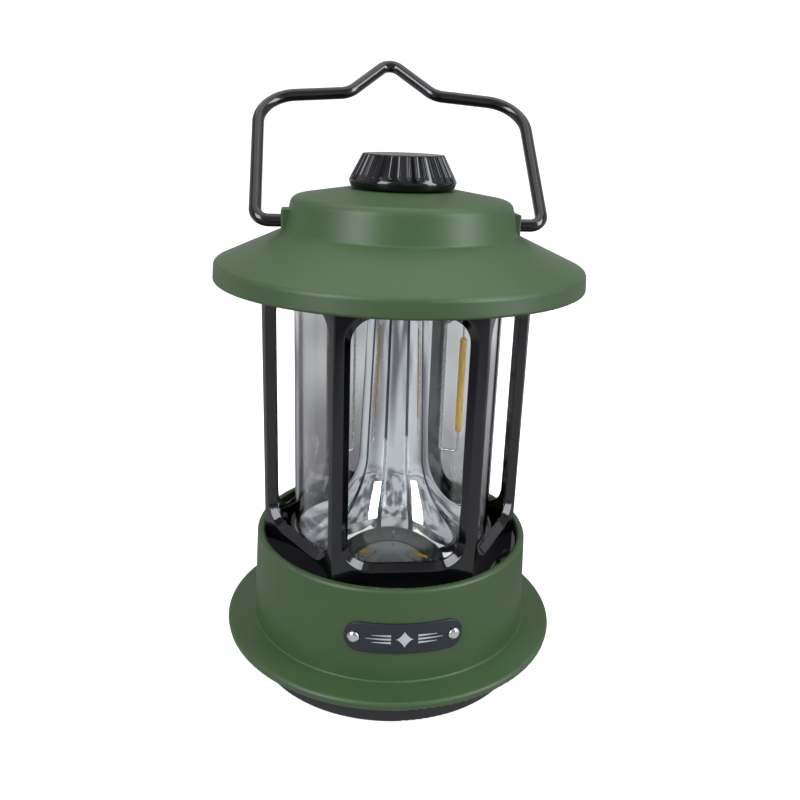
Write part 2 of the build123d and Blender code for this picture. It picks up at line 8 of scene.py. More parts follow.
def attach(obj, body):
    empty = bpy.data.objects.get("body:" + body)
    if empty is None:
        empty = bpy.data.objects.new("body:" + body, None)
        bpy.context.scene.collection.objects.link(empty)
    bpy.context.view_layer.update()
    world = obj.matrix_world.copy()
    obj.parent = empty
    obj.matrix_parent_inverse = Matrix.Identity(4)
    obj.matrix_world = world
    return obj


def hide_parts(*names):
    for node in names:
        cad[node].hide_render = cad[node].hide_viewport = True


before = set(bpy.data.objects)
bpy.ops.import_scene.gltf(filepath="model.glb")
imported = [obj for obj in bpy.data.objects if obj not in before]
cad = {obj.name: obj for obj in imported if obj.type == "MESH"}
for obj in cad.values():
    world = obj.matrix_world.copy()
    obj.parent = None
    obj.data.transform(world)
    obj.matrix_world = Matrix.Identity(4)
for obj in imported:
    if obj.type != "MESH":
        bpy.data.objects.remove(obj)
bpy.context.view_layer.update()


# ---- Foot ring ----
# The ring the lamp stands on: soft black rubber (TPE), moulded matt.
# It is pressed into a groove under the foot, and hides the four base screws.
def linear(hex_colour):
    """An sRGB hex colour as the linear RGBA that shaders take."""
    parts = [int(hex_colour[i : i + 2], 16) / 255 for i in (1, 3, 5)]
    return [c / 12.92 if c <= 0.04045 else ((c + 0.055) / 1.055) ** 2.4 for c in parts] + [1.0]


def add_node(tree, kind, sockets=(), links=(), **settings):
    """Add a node with its settings, the values of its sockets, and links from other outputs."""
    node = tree.nodes.new(kind)
    for name, value in settings.items():
        setattr(node, name, value)
    for name, value in dict(sockets).items():
        node.inputs[name].default_value = value
    for name, source in dict(links).items():
        tree.links.new(source, node.inputs[name])
    return node


def new_finish(name, **sockets):
    """A new material, its node tree and its shader; underscores in socket names are spaces."""
    material = bpy.data.materials.new(name)
    material.use_nodes = True
    tree = material.node_tree
    tree.nodes.clear()
    shader = add_node(
        tree, "ShaderNodeBsdfPrincipled", {n.replace("_", " "): v for n, v in sockets.items()}
    )
    add_node(tree, "ShaderNodeOutputMaterial", links={"Surface": shader.outputs["BSDF"]})
    return material, tree, shader


def moulded(name, colours, patch, rough, grain, depth, **sockets):
    """A finish whose colour and gloss drift in patches, with a fine grain. Sizes in millimetres."""
    material, tree, shader = new_finish(name, **sockets)
    place = add_node(tree, "ShaderNodeTexCoord").outputs["Object"]
    drift = add_node(
        tree,
        "ShaderNodeTexNoise",
        {"Scale": 1000 / patch, "Detail": 4.0, "Roughness": 0.6},
        {"Vector": place},
    )
    tint = add_node(
        tree,
        "ShaderNodeMix",
        {6: linear(colours[0]), 7: linear(colours[1])},
        {0: drift.outputs["Fac"]},
        data_type="RGBA",
    )
    tree.links.new(tint.outputs[2], shader.inputs["Base Color"])
    gloss = add_node(
        tree,
        "ShaderNodeMapRange",
        {"From Min": 0.3, "From Max": 0.7, "To Min": rough[0], "To Max": rough[1]},
        {"Value": drift.outputs["Fac"]},
    )
    tree.links.new(gloss.outputs["Result"], shader.inputs["Roughness"])
    speckle = add_node(
        tree, "ShaderNodeTexNoise", {"Scale": 1000 / grain, "Detail": 2.0}, {"Vector": place}
    )
    bump = add_node(
        tree,
        "ShaderNodeBump",
        {"Strength": 1.0, "Distance": depth / 1000},
        {"Height": speckle.outputs["Fac"]},
    )
    tree.links.new(bump.outputs["Normal"], shader.inputs["Normal"])
    return material


def rounded(points, closed=True, steps=7):
    """Outline of (radius, height, corner radius) points with its corners turned to arcs.
    A straight run next to an arc gets a point near each end, so that shading stays in the arc."""
    outline = []
    count = len(points)
    for i, (x, y, corner) in enumerate(points):
        here = Vector((x, y))
        if corner == 0 or (not closed and i in (0, count - 1)):
            outline.append([here])
            continue
        before, after = (Vector(points[j % count][:2]) for j in (i - 1, i + 1))
        to_before, to_after = (before - here).normalized(), (after - here).normalized()
        half = to_before.angle(to_after) / 2
        centre = here + (to_before + to_after).normalized() * corner / math.sin(half)
        start = here + to_before * corner / math.tan(half)
        sweep = math.pi - 2 * half
        if to_before.cross(to_after) > 0:
            sweep = -sweep
        spoke = start - centre
        arc = []
        for k in range(steps + 1):
            a = sweep * k / steps
            turned = Vector(
                (
                    spoke.x * math.cos(a) - spoke.y * math.sin(a),
                    spoke.x * math.sin(a) + spoke.y * math.cos(a),
                )
            )
            arc.append(centre + turned)
        outline.append(arc)
    result = []
    for i, corner_points in enumerate(outline):
        result += corner_points
        if i == count - 1 and not closed:
            break
        start, end = corner_points[-1], outline[(i + 1) % count][0]
        run = (end - start).length
        if run > 1.0:
            near = min(0.3, run / 4) / run
            result += [start.lerp(end, near), start.lerp(end, 1 - near)]
    return [(p.x, p.y) for p in result]


def piece_from(name, vertices, faces, sharp=35):
    """A mesh object from points in millimetres: doubles merged, faces outward, smooth but for sharp edges."""
    mesh = bpy.data.meshes.new(name)
    mesh.from_pydata([Vector(v) / 1000 for v in vertices], [], faces)
    body = bmesh.new()
    body.from_mesh(mesh)
    bmesh.ops.remove_doubles(body, verts=body.verts, dist=1e-6)
    bmesh.ops.dissolve_degenerate(body, edges=body.edges, dist=1e-7)
    bmesh.ops.recalc_face_normals(body, faces=body.faces)
    body.to_mesh(mesh)
    body.free()
    mesh.shade_smooth()
    mesh.set_sharp_from_angle(angle=math.radians(sharp))
    piece = bpy.data.objects.new(name, mesh)
    bpy.context.scene.collection.objects.link(piece)
    return piece


def lathed(name, outline, around=192, sharp=35):
    """Turn a closed outline of (radius, height) points about the lamp's axis."""
    vertices, faces = [], []
    count = len(outline)
    for r, z in outline:
        for k in range(around):
            a = 2 * math.pi * k / around
            vertices.append((r * math.cos(a), r * math.sin(a), z))
    for i in range(count):
        j = (i + 1) % count
        if outline[i][0] < 1e-6 and outline[j][0] < 1e-6:
            continue
        for k in range(around):
            m = (k + 1) % around
            faces.append(
                (i * around + k, i * around + m, j * around + m, j * around + k)
            )
    return piece_from(name, vertices, faces, sharp)


# Moulded matt rubber: soft wide sheen, no clear reflection, a little dust grey in patches.
rubber = moulded(
    "TPE rubber moulded matt",
    ("#191919", "#242423"),
    patch=9,
    rough=(0.62, 0.8),
    grain=0.7,
    depth=0.03,
    IOR=1.5,
    Specular_IOR_Level=0.35,
)
foot_ring = lathed(
    "foot_ring_rubber",
    rounded([(37.1, 0, 0.5), (46.9, 0, 0.5), (46.9, 2.5, 0.2), (37.1, 2.5, 0.2)]),
)
foot_ring.data.materials.append(rubber)
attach(foot_ring, "lantern")
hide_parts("foot_ring")

# ---- Foot ----
# The tapering black foot under the flange: ABS, one moulding with a spark-eroded matt surface.
# It plugs up into the green shell and is held by four screws.
matt_black = moulded(
    "ABS black spark-eroded matt",
    ("#1b1c1b", "#232423"),
    patch=14,
    rough=(0.48, 0.6),
    grain=0.5,
    depth=0.02,
    IOR=1.53,
    Specular_IOR_Level=0.45,
)
cad["base_plate"].material_slots[0].material = matt_black

# ---- Green shell of the base ----
# Flange and cup wall in one moulding of green ABS; the mould is finely spark-eroded, so the
# plastic is satin: light spreads over it in wide soft bands, brighter at every rounded edge.
green = moulded(
    "ABS green spark-eroded satin",
    ("#38512c", "#3e5832"),
    patch=22,
    rough=(0.4, 0.47),
    grain=0.45,
    depth=0.016,
    IOR=1.53,
)
cad["base_shell"].material_slots[0].material = green

# ---- Charging port ----
# A rubber flap in a pocket at the back covers a drawn steel USB-C shell on the charging board.
cad["port_cover"].material_slots[0].material = rubber
# Bright nickel-plated steel: clear reflections, a little broken up by the forming of the sheet.
plated_steel = moulded(
    "Steel drawn nickel plated",
    ("#b9b6ae", "#cdcac2"),
    patch=4,
    rough=(0.18, 0.3),
    grain=0.6,
    depth=0.004,
    Metallic=1.0,
)
dimmer_nodes = ("dimmer_body", "dimmer_shaft", "dimmer_washer", "dimmer_nut")
for name in ("usb_socket", "battery_contacts", *dimmer_nodes):
    cad[name].material_slots[0].material = plated_steel

# ---- Electronics and cells inside the base ----
# Charging board under green solder mask, two cells in blue shrink sleeve in a black tray,
# and silicone-covered wires. All of it is closed in, and shows only when the lamp is opened.
green_mask = moulded(
    "Glass-epoxy board green solder mask",
    ("#0d4a27", "#125c31"),
    patch=3,
    rough=(0.25, 0.4),
    grain=0.8,
    depth=0.01,
    IOR=1.5,
)
blue_sleeve = moulded(
    "PVC shrink sleeve blue",
    ("#17486f", "#1d5683"),
    patch=12,
    rough=(0.25, 0.35),
    grain=3.0,
    depth=0.03,
    IOR=1.53,
)
red_insulation = moulded(
    "Silicone wire insulation red",
    ("#9c1a17", "#ab221d"),
    patch=6,
    rough=(0.35, 0.45),
    grain=1.0,
    depth=0.01,
    IOR=1.41,
)
black_insulation = moulded(
    "Silicone wire insulation black",
    ("#161616", "#1e1e1e"),
    patch=6,
    rough=(0.35, 0.45),
    grain=1.0,
    depth=0.01,
    IOR=1.41,
)
cad["charge_board"].material_slots[0].material = green_mask
cad["battery_tray"].material_slots[0].material = matt_black
for name in ("battery_cell_front", "battery_cell_back"):
    cad[name].material_slots[0].material = blue_sleeve


def path_tree():
    """Node tree that runs a round wire along a bent path; each corner keeps its own bend radius."""
    tree = bpy.data.node_groups.new("wire along a path", "GeometryNodeTree")
    for name, kind in (
        ("Geometry", "NodeSocketGeometry"),
        ("Wire Radius", "NodeSocketFloat"),
        ("Points Per Bend", "NodeSocketInt"),
        ("Points Round", "NodeSocketInt"),
        ("Finish", "NodeSocketMaterial"),
    ):
        tree.interface.new_socket(name, in_out="INPUT", socket_type=kind)
    tree.interface.new_socket("Geometry", in_out="OUTPUT", socket_type="NodeSocketGeometry")
    given = add_node(tree, "NodeGroupInput").outputs
    line = add_node(tree, "GeometryNodeMeshToCurve", links={"Mesh": given["Geometry"]})
    bend = add_node(tree, "GeometryNodeInputNamedAttribute", {"Name": "bend"}, data_type="FLOAT")
    arcs = add_node(
        tree,
        "GeometryNodeFilletCurve",
        links={
            "Curve": line.outputs["Curve"],
            "Radius": bend.outputs["Attribute"],
            "Count": given["Points Per Bend"],
        },
        mode="POLY",
    )
    section = add_node(
        tree,
        "GeometryNodeCurvePrimitiveCircle",
        links={"Radius": given["Wire Radius"], "Resolution": given["Points Round"]},
    )
    tube = add_node(
        tree,
        "GeometryNodeCurveToMesh",
        {"Fill Caps": True},
        {"Curve": arcs.outputs["Curve"], "Profile Curve": section.outputs["Curve"]},
    )
    whole = add_node(
        tree, "GeometryNodeRealizeInstances", links={"Geometry": tube.outputs["Mesh"]}
    )
    dressed = add_node(
        tree,
        "GeometryNodeSetMaterial",
        links={"Geometry": whole.outputs["Geometry"], "Material": given["Finish"]},
    )
    add_node(tree, "NodeGroupOutput", links={"Geometry": dressed.outputs["Geometry"]})
    return tree


def grown(piece, tree, values, sharp=35):
    """Run a node tree on a piece and keep the result as the piece's own plain mesh."""
    modifier = piece.modifiers.new("grown", "NODES")
    modifier.node_group = tree
    for item in tree.interface.items_tree:
        if item.in_out == "INPUT" and item.name in values:
            modifier[item.identifier] = values[item.name]
    graph = bpy.context.evaluated_depsgraph_get()
    mesh = bpy.data.meshes.new_from_object(piece.evaluated_get(graph))
    piece.modifiers.remove(modifier)
    mesh.name = piece.name
    mesh.shade_smooth()
    mesh.set_sharp_from_angle(angle=math.radians(sharp))
    piece.data = mesh
    return piece


wire_tree = path_tree()


def bent_wire(name, runs, radius, finish, per_bend=10, round_points=24):
    """Wire pieces along runs of corner points in millimetres, each corner with its bend radius."""
    vertices, edges, bends = [], [], []
    for points, radii in runs:
        first = len(vertices)
        vertices += [Vector(p) / 1000 for p in points]
        edges += [(first + i, first + i + 1) for i in range(len(points) - 1)]
        bends += [0.0] + [r / 1000 for r in radii] + [0.0]
    mesh = bpy.data.meshes.new(name)
    mesh.from_pydata(vertices, edges, [])
    mesh.attributes.new("bend", "FLOAT", "POINT").data.foreach_set("value", bends)
    piece = bpy.data.objects.new(name, mesh)
    bpy.context.scene.collection.objects.link(piece)
    values = {
        "Wire Radius": radius / 1000,
        "Points Per Bend": per_bend,
        "Points Round": round_points,
        "Finish": finish,
    }
    return grown(piece, wire_tree, values)


battery_leads = bent_wire(
    "battery_leads_silicone",
    [
        ([(s * 33.3, 14, 20.5), (s * 33.3, 14, 31), (s * 12, 31, 31), (s * 12, 31, 27.8)], [2.5, 2.0])
        for s in (-1, 1)
    ],
    0.7,
    red_insulation,
    round_points=16,
)
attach(battery_leads, "lantern")
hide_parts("battery_leads")

for name, side, finish, slot in (
    ("feed_wire_red", -1, red_insulation, "wire_red"),
    ("feed_wire_black", 1, black_insulation, "wire_black"),
):
    feed = bent_wire(
        f"{name}_silicone",
        [
            (
                [(side * 4, 24, 27.8), (side * 4, 24, 37), (side * 1.8, 0, 37), (side * 1.8, 0, 158)],
                [4.0, 6.0],
            )
        ],
        0.8,
        finish,
        round_points=16,
    )
    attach(feed, "lantern")
    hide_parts(name)

lamp_wires = bent_wire(
    "lamp_wires_silicone",
    [
        ([(s * 5, 3, 158), (s * 5, 3, 152), (s * 9, 3, 147), (s * 9, 3, 141.6)], [3.0, 3.0])
        for s in (-1, 1)
    ],
    0.7,
    black_insulation,
    round_points=16,
)
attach(lamp_wires, "lantern")
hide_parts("lamp_wires")

# ---- Nameplate ----
# A thin curved plate, pressed from aluminium and coated in dark satin enamel, fixed by two rivets.
# Its raised ornament, a four-pointed star between tapered bars, is ground bare.
cup_low, cup_high = (50.4, 17.3), (49.0, 50.4)
plate_middle = 33.6
plate_half_width, plate_half_height, plate_thickness = 20.0, 5.3, 0.8


def on_cup(along, up, out):
    """Point on the cup wall: along it from the front, above the plate's middle, and out from it."""
    height = plate_middle + up
    share = (height - cup_low[1]) / (cup_high[1] - cup_low[1])
    radius = cup_low[0] + (cup_high[0] - cup_low[0]) * share
    angle = along / 50.0
    return (
        (radius + out) * math.sin(angle),
        -(radius + out) * math.cos(angle),
        height,
    )


def stadium(inset, flat_steps=20, arc_steps=16):
    """Points round the plate's outline, moved inwards."""
    radius = plate_half_height - inset
    straight = plate_half_width - plate_half_height
    points = []
    for side in (1, -1):
        for k in range(arc_steps + 1):
            a = -math.pi / 2 + math.pi * k / arc_steps
            points.append((side * (straight + radius * math.cos(a)), side * radius * math.sin(a)))
        for k in range(1, flat_steps):
            points.append((side * (straight - 2 * straight * k / flat_steps), side * radius))
    return points


def ringed(name, rings, sharp=35):
    """Skin over rings that have equal numbers of points; the first and the last close on themselves."""
    count = len(rings[0])
    vertices = [p for ring in rings for p in ring]
    faces = []
    for i in range(len(rings) - 1):
        for k in range(count):
            m = (k + 1) % count
            faces.append((i * count + k, i * count + m, (i + 1) * count + m, (i + 1) * count + k))
    return piece_from(name, vertices, faces, sharp)


edge_round = rounded(
    [
        (plate_half_height, 0.0, 0),
        (0.0, 0.0, 0.08),
        (0.0, plate_thickness, 0.32),
        (plate_half_height, plate_thickness, 0),
    ],
    closed=False,
    steps=5,
)
plate_rings = [[on_cup(x, z, out) for x, z in stadium(inset)] for inset, out in edge_round]
# Dark enamel over pressed aluminium: even, near black with a blue cast, a soft broad sheen.
enamel = moulded(
    "Aluminium pressed dark satin enamel",
    ("#171b24", "#1f242d"),
    patch=5,
    rough=(0.34, 0.46),
    grain=0.4,
    depth=0.012,
    IOR=1.5,
)
nameplate = ringed("nameplate_enamel", plate_rings)
nameplate.data.materials.append(enamel)
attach(nameplate, "lantern")
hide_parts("nameplate")


def raised_shapes(name, shapes, low, high):
    """Raised figures on the plate, each given as columns of (along, bottom, top)."""
    vertices, faces = [], []
    for columns in shapes:
        first = len(vertices)
        for along, bottom, top in columns:
            slope = min(0.12, (top - bottom) / 4)
            vertices += [
                on_cup(along, bottom, low),
                on_cup(along, bottom + slope, high),
                on_cup(along, top - slope, high),
                on_cup(along, top, low),
            ]
        for i in range(len(columns) - 1):
            a, b = first + 4 * i, first + 4 * i + 4
            faces += [(a + k, a + (k + 1) % 4, b + (k + 1) % 4, b + k) for k in range(4)]
        last = first + 4 * (len(columns) - 1)
        faces += [(first, first + 1, first + 2, first + 3), (last, last + 1, last + 2, last + 3)]
    return piece_from(name, vertices, faces, sharp=25)


star_reach, star_steps = 3.1, 24
ornament = []
star = []
for k in range(star_steps + 1):
    along = star_reach * (2 * k / star_steps - 1)
    half = max(0.02, 2.9 * (1 - abs(along) / star_reach) ** 1.8)
    star.append((along, -half, half))
ornament.append(star)
for side in (-1, 1):
    for lift in (-1.25, 0.0, 1.25):
        reach = 12.6 - 1.6 * abs(lift)
        bar = []
        for k in range(13):
            along = 4.4 + (reach - 4.4) * k / 12
            half = 0.42 - 0.3 * k / 12
            bar.append((side * along, lift - half, lift + half))
        ornament.append(bar)
# Ground bare aluminium: pale, brushed along the plate, bright wherever the light comes from.
ground_aluminium = moulded(
    "Aluminium ground bare",
    ("#d3d5d8", "#e6e7e9"),
    patch=3,
    rough=(0.3, 0.42),
    grain=0.25,
    depth=0.006,
    Metallic=1.0,
)
ornament_piece = raised_shapes("nameplate_ornament", ornament, plate_thickness - 0.1, plate_thickness + 0.14)
ornament_piece.data.materials.append(ground_aluminium)
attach(ornament_piece, "lantern")


# ---- Nameplate rivets ----
# Two drive rivets of polished stainless steel with domed heads, knocked into blind holes.
def round_tree():
    """Node tree that repeats a piece round the lamp's axis and joins what meets."""
    tree = bpy.data.node_groups.new("repeat round the axis", "GeometryNodeTree")
    for name, kind in (
        ("Geometry", "NodeSocketGeometry"),
        ("Count", "NodeSocketInt"),
        ("First Angle", "NodeSocketFloat"),
        ("Step Angle", "NodeSocketFloat"),
        ("Finish", "NodeSocketMaterial"),
    ):
        tree.interface.new_socket(name, in_out="INPUT", socket_type=kind)
    tree.interface.new_socket("Geometry", in_out="OUTPUT", socket_type="NodeSocketGeometry")
    given = add_node(tree, "NodeGroupInput").outputs
    places = add_node(
        tree,
        "GeometryNodeMeshLine",
        {"Offset": (0, 0, 0)},
        {"Count": given["Count"]},
    )
    number = add_node(tree, "GeometryNodeInputIndex")
    angle = add_node(
        tree,
        "ShaderNodeMath",
        links={0: number.outputs["Index"], 1: given["Step Angle"], 2: given["First Angle"]},
        operation="MULTIPLY_ADD",
    )
    turned = add_node(tree, "ShaderNodeCombineXYZ", links={"Z": angle.outputs["Value"]})
    copies = add_node(
        tree,
        "GeometryNodeInstanceOnPoints",
        links={
            "Points": places.outputs["Mesh"],
            "Instance": given["Geometry"],
            "Rotation": turned.outputs["Vector"],
        },
    )
    whole = add_node(
        tree, "GeometryNodeRealizeInstances", links={"Geometry": copies.outputs["Instances"]}
    )
    joined = add_node(
        tree,
        "GeometryNodeMergeByDistance",
        {"Distance": 2e-6},
        {"Geometry": whole.outputs["Geometry"]},
    )
    dressed = add_node(
        tree,
        "GeometryNodeSetMaterial",
        links={"Geometry": joined.outputs["Geometry"], "Material": given["Finish"]},
    )
    add_node(tree, "NodeGroupOutput", links={"Geometry": dressed.outputs["Geometry"]})
    return tree


around_tree = round_tree()


def repeated(piece, count, first, step, finish, sharp=35):
    """Repeat a piece round the lamp's axis; angles in degrees."""
    values = {
        "Count": count,
        "First Angle": math.radians(first),
        "Step Angle": math.radians(step),
        "Finish": finish,
    }
    grown(piece, around_tree, values, sharp)
    mesh = bmesh.new()
    mesh.from_mesh(piece.data)
    bmesh.ops.recalc_face_normals(mesh, faces=mesh.faces)
    mesh.to_mesh(piece.data)
    mesh.free()
    return piece


# Polished stainless: a mirror with faint scratches from tumbling.
polished_steel = moulded(
    "Stainless steel polished",
    ("#c9c9cb", "#dadadc"),
    patch=2,
    rough=(0.1, 0.2),
    grain=0.5,
    depth=0.003,
    Metallic=1.0,
)
rivet_height, rivet_angle = 33.5, 19.0
rivet_seat = 49.72 + plate_thickness
rivets = lathed(
    "nameplate_rivets_steel",
    rounded(
        [
            (0, -1.2, 0),
            (1.0, -1.2, 0),
            (1.0, 0, 0),
            (2.1, 0, 0.1),
            (2.1, 0.55, 0.4),
            (1.2, 1.1, 0.9),
            (0, 1.1, 0),
        ]
    ),
    around=48,
)
rivets.data.transform(
    Matrix.Translation((0, -rivet_seat / 1000, rivet_height / 1000)) @ Matrix.Rotation(math.pi / 2, 4, "X")
)
repeated(rivets, 2, -rivet_angle, 2 * rivet_angle, polished_steel)
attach(rivets, "lantern")
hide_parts("nameplate_rivets")

# ---- Deck ----
# The black disc in the mouth of the cup, with a raised middle that carries the clear tube.
# ABS from a polished mould, so the cup's green wall mirrors in it.
gloss_black = moulded(
    "ABS black mirror-polished mould",
    ("#08090b", "#0b0c0f"),
    patch=16,
    rough=(0.045, 0.11),
    grain=14.0,
    depth=0.05,
    IOR=1.54,
)
cad["deck_plate"].material_slots[0].material = gloss_black

# ---- Cage ----
# Six-sided frame of gloss black ABS, one moulding: a rounded window in each side with a bevel
# round it, the wall 2.8 mm thick. The edges are softened, so each one carries a thin highlight.
cage_radius, cage_wall = 46.4, 2.8
cage_low, cage_high = 47.6, 141.6
cage_face = cage_radius * math.cos(math.radians(30))
corner_round = 0.8
window_low, window_high, window_half = 54.5, 136.5, 18.2
window_corner = 8.0
arc_steps, flat_steps = 12, 14


def window_ring(offset):
    """Points round the window's outline, moved outwards: starts low on the right side."""
    half, corner = window_half + offset, window_corner + offset
    points = []
    for corner_x, corner_z, start in (
        (half - corner, window_high + offset - corner, 0),
        (-(half - corner), window_high + offset - corner, 90),
        (-(half - corner), window_low - offset + corner, 180),
        (half - corner, window_low - offset + corner, 270),
    ):
        for k in range(arc_steps + 1):
            a = math.radians(start + 90 * k / arc_steps)
            points.append((corner_x + corner * math.cos(a), corner_z + corner * math.sin(a)))
        if start in (0, 180):
            direction = -1 if start == 0 else 1
            for k in range(1, flat_steps):
                points.append(
                    (-direction * (half - corner) * (1 - 2 * k / flat_steps), points[-1][1])
                )
    return points


def panel_edge(half_width):
    """Points on the panel's straight-sided boundary that pair with the points of a window ring."""
    inner = window_half - window_corner
    points = []
    for x, z in window_ring(0.0):
        if abs(x) <= inner + 1e-6:
            points.append((x, cage_high if z > 100 else cage_low))
        else:
            side = 1 if x > 0 else -1
            high = z > (window_low + window_high) / 2
            centre_z = window_high - window_corner if high else window_low + window_corner
            turn = math.atan2(abs(z - centre_z), abs(x) - inner) / (math.pi / 2)
            limit = cage_high if high else cage_low
            if turn <= 0.5:
                points.append((side * half_width, centre_z + (limit - centre_z) * turn * 2))
            else:
                points.append((side * (half_width + (inner - half_width) * (turn * 2 - 1)), limit))
    return points


face_half = cage_radius / 2 - corner_round * math.tan(math.radians(30))
inner_half = (cage_face - cage_wall) * math.tan(math.radians(30))
front_edge = panel_edge(face_half)
panel_rings = [[(x, -cage_face, z) for x, z in front_edge]]
for offset, inwards in rounded(
    [(3.2, 0, 0), (2.2, 0, 0.6), (0, 2.2, 0.25), (0, cage_wall, 0)], closed=False, steps=6
):
    panel_rings.append([(x, -cage_face + inwards, z) for x, z in window_ring(offset)])
panel_rings.append([(x, cage_wall - cage_face, z) for x, z in panel_edge(inner_half)])
ring_size = len(front_edge)
vertices = [p for ring in panel_rings for p in ring]
faces = []
for i in range(len(panel_rings) - 1):
    for k in range(ring_size):
        m = (k + 1) % ring_size
        faces.append((i * ring_size + k, i * ring_size + m, (i + 1) * ring_size + m, (i + 1) * ring_size + k))
last_ring = (len(panel_rings) - 1) * ring_size
for k in range(ring_size):
    m = (k + 1) % ring_size
    level = front_edge[k][1]
    if level in (cage_low, cage_high) and front_edge[m][1] == level:
        faces.append((k, m, last_ring + m, last_ring + k))
for side in (-1, 1):
    column = sorted(
        (k for k in range(ring_size) if abs(front_edge[k][0] - side * face_half) < 1e-6),
        key=lambda k: front_edge[k][1],
    )
    centre_y = -cage_face + corner_round
    columns = [column]
    for turn in (10, 20, 30):
        a = math.radians(turn)
        x = side * (face_half + corner_round * math.sin(a))
        y = centre_y - corner_round * math.cos(a)
        columns.append(list(range(len(vertices), len(vertices) + len(column))))
        vertices += [(x, y, front_edge[k][1]) for k in column]
    for one, two in zip(columns, columns[1:]):
        for i in range(len(column) - 1):
            faces.append((one[i], one[i + 1], two[i + 1], two[i]))
    for end in (0, -1):
        faces.append((last_ring + column[end], *(c[end] for c in columns)))
cage = piece_from("cage_gloss_abs", vertices, faces, sharp=30)
repeated(cage, 6, 0, 60, gloss_black, sharp=30)
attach(cage, "lantern")
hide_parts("cage")
# Screw bosses in the corners, three below and three above, hidden behind the sills and lintels.
boss_circle, boss_radius, hole_radius = 40.8, 2.6, 1.3
for name, start, mouth, hole_end, end in (
    ("cage_boss_low", 60, cage_low, 53.6, 54.0),
    ("cage_boss_high", 0, cage_high, 137.6, 137.0),
):
    outline = [(0, hole_end), (hole_radius, hole_end), (hole_radius, mouth)]
    outline += [(boss_radius, mouth), (boss_radius, end), (0, end)]
    if mouth > end:
        outline.reverse()
    boss = lathed(name, outline, 40, sharp=30)
    for vertex in boss.data.vertices:
        vertex.co.x += boss_circle / 1000
    repeated(boss, 3, start, 120, gloss_black, sharp=30)
    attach(boss, "lantern")
    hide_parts("cage")

# ---- Seals of the clear tube ----
# Two rings of translucent silicone that grip the tube's ends and keep water out.
silicone = moulded(
    "Silicone moulded translucent",
    ("#b4b8b6", "#c2c5c3"),
    patch=8,
    rough=(0.4, 0.5),
    grain=1.0,
    depth=0.01,
    IOR=1.41,
    Subsurface_Weight=0.4,
    Subsurface_Radius=(0.002, 0.002, 0.002),
    Subsurface_Scale=1.0,
)
for name in ("lower_seal", "upper_seal"):
    cad[name].material_slots[0].material = silicone

# ---- Clear tube ----
# Extruded acrylic with cut and polished ends, standing between the two seals.
# Clear as glass: sharp reflections down both walls, faintly rippled lengthwise by the die.
acrylic, tree, shader = new_finish(
    "Acrylic extruded clear",
    Base_Color=linear("#fbfdfc"),
    Roughness=0.012,
    IOR=1.49,
    Transmission_Weight=1.0,
)
place = add_node(tree, "ShaderNodeTexCoord").outputs["Object"]
along = add_node(
    tree, "ShaderNodeMapping", {"Scale": (1.0, 1.0, 0.04)}, {"Vector": place}
)
ripple = add_node(
    tree,
    "ShaderNodeTexNoise",
    {"Scale": 1000 / 5.0, "Detail": 1.0},
    {"Vector": along.outputs["Vector"]},
)
bump = add_node(
    tree,
    "ShaderNodeBump",
    {"Strength": 1.0, "Distance": 0.00001},
    {"Height": ripple.outputs["Fac"]},
)
tree.links.new(bump.outputs["Normal"], shader.inputs["Normal"])
tube = lathed(
    "clear_tube_acrylic",
    rounded([(34.2, 51.1, 0.3), (35.4, 51.1, 0.3), (35.4, 139.6, 0.3), (34.2, 139.6, 0.3)], steps=4),
    around=256,
)
tube.data.materials.append(acrylic)
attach(tube, "lantern")
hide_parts("clear_tube")

# ---- Trumpet reflector ----
# One ABS moulding, vacuum metallised under clear lacquer: a hollow column that flares into a bell.
# It mirrors the room in long upright streaks, a little wavy where the plastic sank.
flare_radius, flare_height, neck_radius = 29.0, 80.0, 12.3
wall = 1.2


def flare(radius, mouth, steps=40):
    """Points of the bell's arc from its mouth up to the neck."""
    centre = neck_radius + flare_radius
    low = math.atan2(-math.sqrt(radius**2 - (centre - mouth) ** 2), mouth - centre)
    points = []
    for k in range(steps + 1):
        a = low + (-math.pi - low) * k / steps
        points.append((centre + radius * math.cos(a), flare_height + radius * math.sin(a)))
    return points


outside = flare(flare_radius, 33.7)
inside = flare(flare_radius + wall, 33.7 - wall)
column_outside = [(12.3 - 2.3 * k / 12, 80 + 59.9 * k / 12) for k in range(1, 13)]
column_inside = [(11.1 - 2.3 * k / 12, 80 + 59.9 * k / 12) for k in range(1, 13)]
reflector = lathed(
    "reflector_chrome",
    [(33.7, 49.6), *outside, *column_outside, *column_inside[::-1], *inside[::-1], (32.5, 49.6)],
    around=256,
    sharp=30,
)
chrome = moulded(
    "ABS vacuum metallised chrome",
    ("#dfe2e6", "#e8eaed"),
    patch=30,
    rough=(0.015, 0.035),
    grain=18.0,
    depth=0.05,
    Metallic=1.0,
)
reflector.data.materials.append(chrome)
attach(reflector, "lantern")
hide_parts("reflector")

# ---- LED filaments ----
# A row of tiny chips on a strip, dipped in silicone that carries the yellow phosphor.
# Unlit they are egg-yolk yellow, slightly beaded where each chip lifts the coat.
filament_circle, filament_radius = 24.0, 1.2
filament_low, filament_high, chip_pitch = 90.5, 124.3, 1.3
phosphor = moulded(
    "Phosphor silicone dipped yellow",
    ("#f5b41c", "#fcc838"),
    patch=2.6,
    rough=(0.3, 0.42),
    grain=0.6,
    depth=0.03,
    IOR=1.41,
    Subsurface_Weight=0.35,
    Subsurface_Radius=(0.003, 0.0015, 0.0004),
    Subsurface_Scale=1.0,
)
